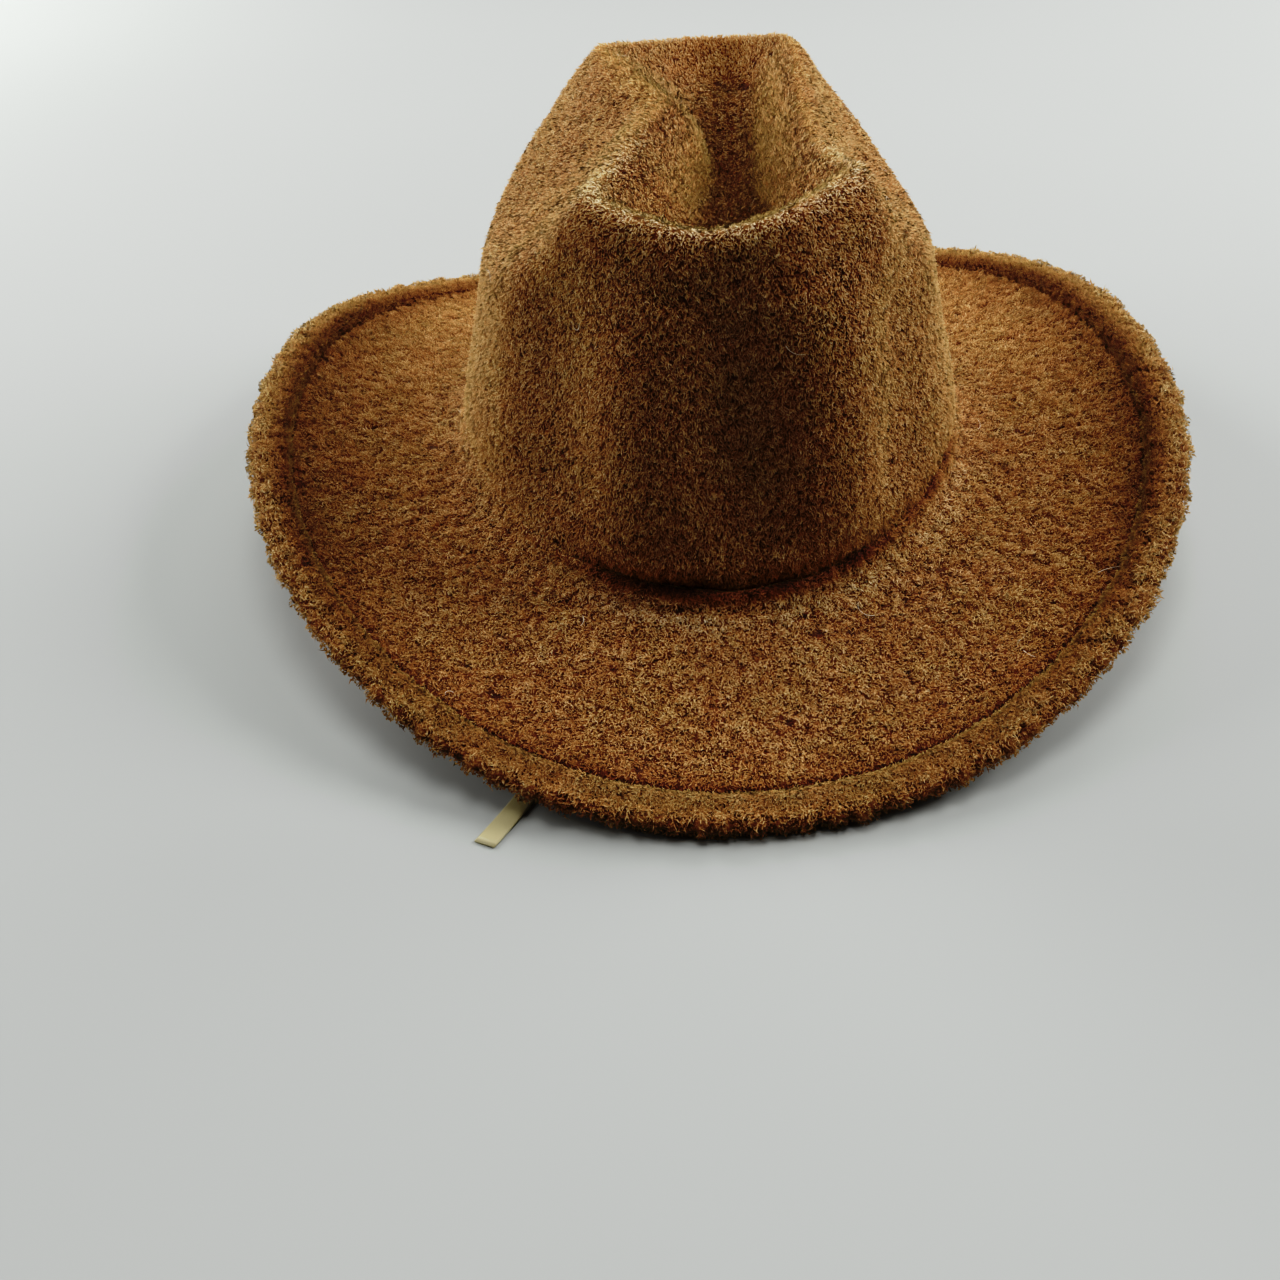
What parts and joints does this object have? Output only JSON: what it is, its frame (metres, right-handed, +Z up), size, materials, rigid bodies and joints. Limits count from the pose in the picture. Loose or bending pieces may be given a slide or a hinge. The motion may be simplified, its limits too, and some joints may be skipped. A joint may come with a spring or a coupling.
{
  "type": "plush western hat",
  "caption": "Soft plush western hat with a pinched, creased crown, a wide brim that rolls up at the sides, a bound edge and a ribbon end under the back.",
  "frame": {"origin": "on the surface that the hat rests on, under the middle of its brim", "axes": "+Z up through the crown, +Y towards the front of the hat, +X to the wearer's right"},
  "size_m": [0.3324, 0.3834, 0.1403],
  "materials": {
    "crown_plush": "short combed pile",
    "brim_plush": "short curly pile",
    "binding_plush": "longer curly pile",
    "ribbon_satin": "satin, ribbed along its length"
  },
  "bodies": {
    "root": {"crown": "crown_plush", "brim": "brim_plush", "brim_binding": "binding_plush", "ribbon_tail": "ribbon_satin"}
  },
  "joints": []
}
